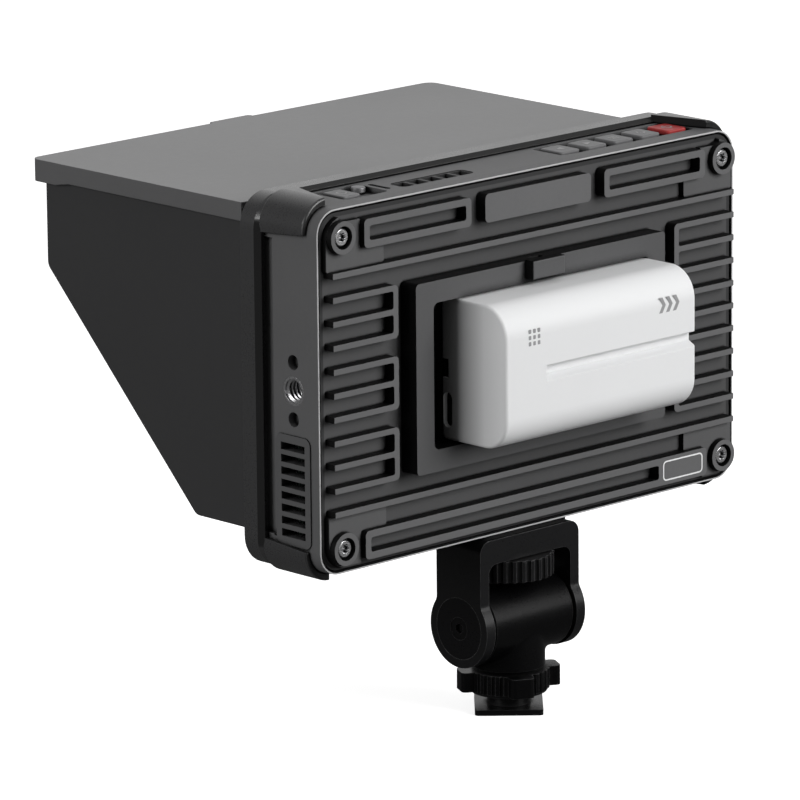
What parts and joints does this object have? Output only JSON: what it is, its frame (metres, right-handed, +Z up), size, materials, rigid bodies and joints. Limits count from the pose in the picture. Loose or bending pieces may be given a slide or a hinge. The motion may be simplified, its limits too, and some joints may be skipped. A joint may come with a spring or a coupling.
{
  "type": "camera field monitor",
  "caption": "Camera field monitor with a folding sun hood, finned back, slide-on battery and a tilting shoe bracket with lock wheel.",
  "frame": {"origin": "middle of the underside of the shoe foot, on the swivel axis", "axes": "+Z up along the swivel axis, +X towards the side wall with the side thread, +Y towards the back with the battery; the screen faces -Y"},
  "size_m": [0.1588, 0.1398, 0.1514],
  "materials": {
    "bracket_black": "fine satin black coating",
    "bracket_steel": "black oxide on turned steel",
    "cap_black": "polished black cap",
    "friction_nylon": "natural nylon",
    "pad_rubber": "soft black rubber",
    "frame_grey": "textured dark grey coating",
    "cover_grey": "fine textured dark grey coating",
    "screw_steel": "bright turned steel",
    "front_glass": "gloss glass",
    "gasket_foam": "closed-cell foam",
    "panel_module": "dark screen module",
    "spreader_alloy": "plain sheet",
    "board_green": "circuit board",
    "thermal_grey": "soft thermal pad",
    "grille_black": "moulded black",
    "port_metal": "plated shell",
    "key_grey": "fine matt grey",
    "key_red": "fine matt red",
    "plate_black": "fine matt black",
    "contact_gold": "gold plated",
    "battery_white": "fine matt light grey",
    "cell_blue": "wrapped cells",
    "hood_plastic": "fine matt dark grey",
    "hood_frame_plastic": "fine matt black",
    "pin_steel": "drawn wire"
  },
  "bodies": {
    "base": {"shoe_foot": "bracket_black"},
    "clamp": {"lock_washer": "bracket_steel"},
    "wheel": {"lock_wheel": "bracket_black"},
    "post": {"tilt_post": "bracket_black"},
    "head": {"friction_washer_left": "friction_nylon", "friction_washer_right": "friction_nylon", "tilt_yoke": "bracket_black", "pivot_bolt": "bracket_steel", "pivot_nut": "bracket_steel", "pivot_cap_left": "cap_black", "pivot_cap_right": "cap_black", "yoke_pad": "pad_rubber", "mid_frame": "frame_grey", "rear_cover": "cover_grey", "cover_glass": "front_glass", "display_gasket": "gasket_foam", "display_panel": "panel_module", "heat_spreader": "spreader_alloy", "main_board": "board_green", "thermal_pad": "thermal_grey", "side_vent_grille": "grille_black", "top_vent_grille": "grille_black", "side_thread_insert": "screw_steel", "bottom_thread_insert": "screw_steel", "cover_screw_1": "screw_steel", "cover_screw_2": "screw_steel", "cover_screw_3": "screw_steel", "cover_screw_4": "screw_steel", "dc_jack": "port_metal", "hdmi_in_port": "port_metal", "hdmi_out_port": "port_metal", "usb_port": "port_metal", "audio_port": "port_metal", "key_board_right": "board_green", "key_board_left": "board_green", "battery_plate": "plate_black", "battery_contacts": "contact_gold", "hood_frame": "hood_frame_plastic", "hinge_pin_side_left": "pin_steel", "hinge_pin_side_right": "pin_steel", "hinge_pin_top_left": "pin_steel", "hinge_pin_top_right": "pin_steel"},
    "thumb": {"mounting_screw": "bracket_black"},
    "latch": {"battery_latch": "plate_black"},
    "battery": {"battery_case": "battery_white", "battery_cells": "cell_blue"},
    "hood_lid": {"hood_top": "hood_plastic"},
    "hood_left": {"hood_side_left": "hood_plastic"},
    "hood_right": {"hood_side_right": "hood_plastic"},
    "key_1_cap": {"key_1": "key_grey"},
    "key_2_cap": {"key_2": "key_grey"},
    "key_3_cap": {"key_3": "key_grey"},
    "key_4_cap": {"key_4": "key_grey"},
    "power_key_cap": {"power_key": "key_red"},
    "function_key_cap": {"function_key": "key_grey"},
    "jog_button_cap": {"jog_button": "port_metal"}
  },
  "joints": [
    {"name": "clamp_slide", "type": "slide", "parent": "base", "child": "clamp", "axis": [0, 0, 1], "range_m": [-0.001, 0]},
    {"name": "lock_spin", "type": "hinge", "parent": "clamp", "child": "wheel", "pos_m": [0, 0, 0.009], "axis": [0, 0, 1], "range_deg": [-360, 0]},
    {"name": "swivel", "type": "hinge", "parent": "base", "child": "post", "pos_m": [0, 0, 0.012], "axis": [0, 0, 1], "continuous": true},
    {"name": "tilt", "type": "hinge", "parent": "post", "child": "head", "pos_m": [0, 0, 0.0253], "axis": [1, 0, 0], "range_deg": [-90, 90]},
    {"name": "thumb_spin", "type": "hinge", "parent": "head", "child": "thumb", "pos_m": [0, 0, 0.0403], "axis": [0, 0, 1], "continuous": true},
    {"name": "latch_slide", "type": "slide", "parent": "head", "child": "latch", "axis": [0, 0, 1], "range_m": [0, 0.002], "stiffness_N_per_m": 150},
    {"name": "battery_slide", "type": "slide", "parent": "head", "child": "battery", "axis": [1, 0, 0], "range_m": [0, 0.0086]},
    {"name": "hood_lid_hinge", "type": "hinge", "parent": "head", "child": "hood_lid", "pos_m": [0, -0.0204, 0.1452], "axis": [-1, 0, 0], "range_deg": [0, 30]},
    {"name": "hood_left_hinge", "type": "hinge", "parent": "head", "child": "hood_left", "pos_m": [0.07225, -0.0204, 0.1005], "axis": [0, 0, -1], "range_deg": [0, 90]},
    {"name": "hood_right_hinge", "type": "hinge", "parent": "head", "child": "hood_right", "pos_m": [-0.07225, -0.0224, 0.1005], "axis": [0, 0, 1], "range_deg": [0, 90]},
    {"name": "key_1_press", "type": "slide", "parent": "head", "child": "key_1_cap", "axis": [0, 0, -1], "range_m": [0, 0.0004], "stiffness_N_per_m": 400},
    {"name": "key_2_press", "type": "slide", "parent": "head", "child": "key_2_cap", "axis": [0, 0, -1], "range_m": [0, 0.0004], "stiffness_N_per_m": 400},
    {"name": "key_3_press", "type": "slide", "parent": "head", "child": "key_3_cap", "axis": [0, 0, -1], "range_m": [0, 0.0004], "stiffness_N_per_m": 400},
    {"name": "key_4_press", "type": "slide", "parent": "head", "child": "key_4_cap", "axis": [0, 0, -1], "range_m": [0, 0.0004], "stiffness_N_per_m": 400},
    {"name": "power_key_press", "type": "slide", "parent": "head", "child": "power_key_cap", "axis": [0, 0, -1], "range_m": [0, 0.0004], "stiffness_N_per_m": 400},
    {"name": "function_key_press", "type": "slide", "parent": "head", "child": "function_key_cap", "axis": [0, 0, -1], "range_m": [0, 0.0004], "stiffness_N_per_m": 400},
    {"name": "jog_button_press", "type": "slide", "parent": "head", "child": "jog_button_cap", "axis": [0, 0, -1], "range_m": [0, 0.0004], "stiffness_N_per_m": 400}
  ],
  "couplings": [
    {"joint": "lock_spin", "follows": "clamp_slide", "rad_per_m": 6283.2}
  ]
}
